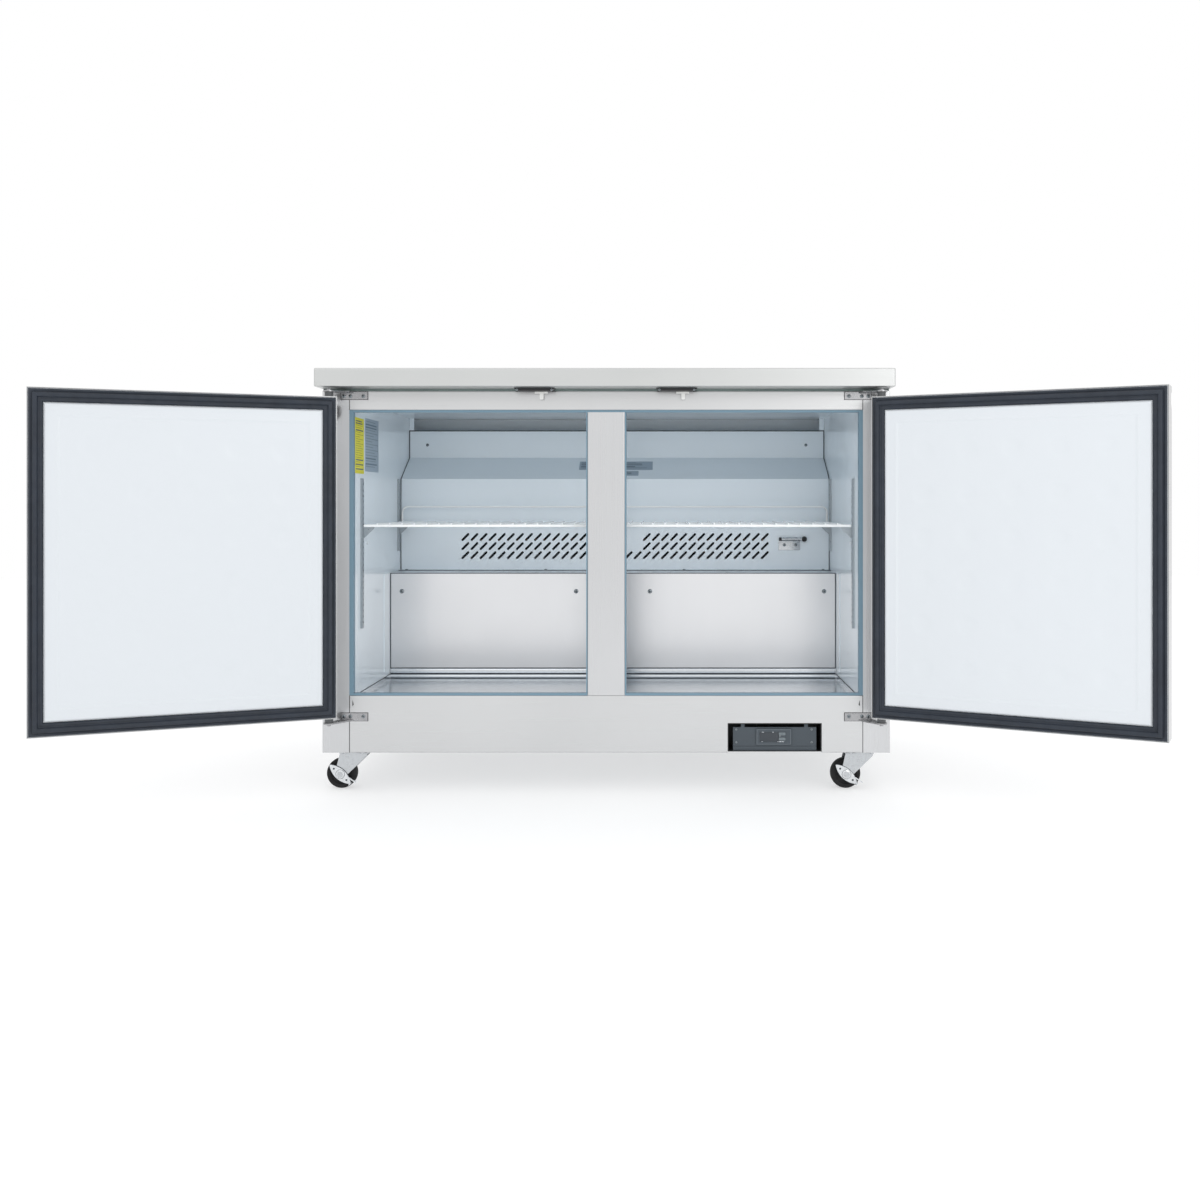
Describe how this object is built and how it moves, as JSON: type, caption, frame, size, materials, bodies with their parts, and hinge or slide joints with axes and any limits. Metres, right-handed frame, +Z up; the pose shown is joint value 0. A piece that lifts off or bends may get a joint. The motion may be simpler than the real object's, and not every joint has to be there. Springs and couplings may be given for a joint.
{
  "type": "under counter fridge",
  "caption": "Low stainless refrigerator cabinet on swivel casters with hinged doors standing open, wire shelves, a rear evaporator cover and a front control panel.",
  "frame": {"origin": "floor level under the centre of the worktop", "axes": "+X to the right seen from the front, +Y to the back, +Z up"},
  "size_m": [2.2265, 1.0293, 0.911],
  "materials": {
    "stainless": "brushed stainless steel",
    "floor_steel": "polished stainless steel",
    "white_panel": "white enamelled sheet",
    "white_plastic": "white moulded plastic",
    "slate_plastic": "blue-grey plastic breaker trim",
    "gasket": "dark slate flexible PVC",
    "foam": "rigid polyurethane foam",
    "zinc": "zinc-plated steel",
    "chrome": "bright plated steel",
    "tread": "black polyurethane tread",
    "black_plastic": "black plastic",
    "fascia": "slate textured plastic",
    "key_plastic": "light grey keys",
    "nylon": "white nylon",
    "wire": "white epoxy-coated wire",
    "coil_metal": "aluminium fins",
    "galvanised": "galvanised sheet",
    "black_steel": "black painted steel"
  },
  "bodies": {
    "cabinet": {"back_panel": "galvanised", "base_pan": "galvanised", "breaker_trim": "slate_plastic", "cabinet_screws": "chrome", "caster_plates": "zinc", "compressor": "black_steel", "condenser_coil": "coil_metal", "condenser_fan_shroud": "galvanised", "control_fascia": "fascia", "control_housing": "black_plastic", "controller": "black_plastic", "cord_gland": "black_plastic", "door_switch_housings": "black_plastic", "drain_pan": "galvanised", "evaporator_coil": "coil_metal", "evaporator_cover": "white_panel", "evaporator_fan_deck": "galvanised", "floor_pan": "floor_steel", "front_header": "stainless", "hinge_brackets": "chrome", "inner_liner": "white_panel", "insulation": "foam", "left_side_panel": "stainless", "lower_front_panel": "stainless", "mullion": "stainless", "rear_grille": "galvanised", "right_side_panel": "stainless", "shelf_clips": "zinc", "shelf_standards": "zinc", "step_panel": "stainless", "temperature_probe": "chrome", "worktop": "stainless"},
    "left_door": {"left_door_skin": "stainless", "left_door_liner": "white_plastic", "left_door_foam": "foam", "left_door_gasket": "gasket", "left_door_bushings": "nylon"},
    "left_shelf": {"left_shelf": "wire"},
    "left_switch_lever": {"left_switch_lever": "white_plastic"},
    "right_door": {"right_door_skin": "stainless", "right_door_liner": "white_plastic", "right_door_foam": "foam", "right_door_gasket": "gasket", "right_door_bushings": "nylon"},
    "right_shelf": {"right_shelf": "wire"},
    "right_switch_lever": {"right_switch_lever": "white_plastic"},
    "front_left_fork": {"front_left_caster_fork": "zinc"},
    "front_left_wheel": {"front_left_caster_wheel": "tread"},
    "front_right_fork": {"front_right_caster_fork": "zinc"},
    "front_right_wheel": {"front_right_caster_wheel": "tread"},
    "rear_left_fork": {"rear_left_caster_fork": "zinc"},
    "rear_left_wheel": {"rear_left_caster_wheel": "tread"},
    "rear_right_fork": {"rear_right_caster_fork": "zinc"},
    "rear_right_wheel": {"rear_right_caster_wheel": "tread"},
    "front_left_brake": {"front_left_brake_lever": "zinc"},
    "front_right_brake": {"front_right_brake_lever": "zinc"},
    "evaporator_fan": {"evaporator_fan": "black_plastic"},
    "condenser_fan": {"condenser_fan": "black_plastic"},
    "upper_key": {"controller_key_upper": "key_plastic"},
    "lower_key": {"controller_key_lower": "key_plastic"}
  },
  "joints": [
    {"name": "left_door_hinge", "type": "hinge", "parent": "cabinet", "child": "left_door", "pos_m": [-0.587, -0.355, 0.5115], "axis": [0, 0, 1], "range_deg": [-4.5, 157.5]},
    {"name": "right_door_hinge", "type": "hinge", "parent": "cabinet", "child": "right_door", "pos_m": [0.587, -0.355, 0.5115], "axis": [0, 0, -1], "range_deg": [-9.5, 152.5]},
    {"name": "left_shelf_lift", "type": "slide", "parent": "cabinet", "child": "left_shelf", "axis": [0, 0, 1], "range_m": [0, 0.06]},
    {"name": "right_shelf_lift", "type": "slide", "parent": "cabinet", "child": "right_shelf", "axis": [0, 0, 1], "range_m": [0, 0.06]},
    {"name": "front_left_swivel", "type": "hinge", "parent": "cabinet", "child": "front_left_fork", "pos_m": [-0.554, -0.255, 0.079], "axis": [0, 0, 1], "continuous": true},
    {"name": "front_left_roll", "type": "hinge", "parent": "front_left_fork", "child": "front_left_wheel", "pos_m": [-0.584, -0.255, 0.033], "axis": [0, 1, 0], "continuous": true},
    {"name": "front_right_swivel", "type": "hinge", "parent": "cabinet", "child": "front_right_fork", "pos_m": [0.554, -0.255, 0.079], "axis": [0, 0, 1], "continuous": true},
    {"name": "front_right_roll", "type": "hinge", "parent": "front_right_fork", "child": "front_right_wheel", "pos_m": [0.524, -0.255, 0.033], "axis": [0, 1, 0], "continuous": true},
    {"name": "rear_left_swivel", "type": "hinge", "parent": "cabinet", "child": "rear_left_fork", "pos_m": [-0.554, 0.3, 0.079], "axis": [0, 0, 1], "continuous": true},
    {"name": "rear_left_roll", "type": "hinge", "parent": "rear_left_fork", "child": "rear_left_wheel", "pos_m": [-0.584, 0.3, 0.033], "axis": [0, 1, 0], "continuous": true},
    {"name": "rear_right_swivel", "type": "hinge", "parent": "cabinet", "child": "rear_right_fork", "pos_m": [0.554, 0.3, 0.079], "axis": [0, 0, 1], "continuous": true},
    {"name": "rear_right_roll", "type": "hinge", "parent": "rear_right_fork", "child": "rear_right_wheel", "pos_m": [0.524, 0.3, 0.033], "axis": [0, 1, 0], "continuous": true},
    {"name": "front_left_brake_pivot", "type": "hinge", "parent": "front_left_fork", "child": "front_left_brake", "pos_m": [-0.584, -0.2758, 0.033], "axis": [0, -1, 0], "range_deg": [0, 25]},
    {"name": "front_right_brake_pivot", "type": "hinge", "parent": "front_right_fork", "child": "front_right_brake", "pos_m": [0.524, -0.2758, 0.033], "axis": [0, -1, 0], "range_deg": [0, 25]},
    {"name": "left_switch_swing", "type": "hinge", "parent": "cabinet", "child": "left_switch_lever", "pos_m": [-0.139, -0.324, 0.8657], "axis": [1, 0, 0], "range_deg": [0, 8], "stiffness_Nm_per_rad": 0.006, "springref_deg": -11.46},
    {"name": "right_switch_swing", "type": "hinge", "parent": "cabinet", "child": "right_switch_lever", "pos_m": [0.165, -0.324, 0.8657], "axis": [1, 0, 0], "range_deg": [0, 8], "stiffness_Nm_per_rad": 0.006, "springref_deg": -11.46},
    {"name": "evaporator_fan_spin", "type": "hinge", "parent": "cabinet", "child": "evaporator_fan", "pos_m": [0, 0.2446, 0.64], "axis": [0, 0, 1], "continuous": true},
    {"name": "condenser_fan_spin", "type": "hinge", "parent": "cabinet", "child": "condenser_fan", "pos_m": [0.4, 0.22, 0.243], "axis": [1, 0, 0], "continuous": true},
    {"name": "upper_key_press", "type": "slide", "parent": "cabinet", "child": "upper_key", "axis": [0, 1, 0], "range_m": [0, 0.0008], "stiffness_N_per_m": 300, "springref_m": -0.001},
    {"name": "lower_key_press", "type": "slide", "parent": "cabinet", "child": "lower_key", "axis": [0, 1, 0], "range_m": [0, 0.0008], "stiffness_N_per_m": 300, "springref_m": -0.001}
  ]
}
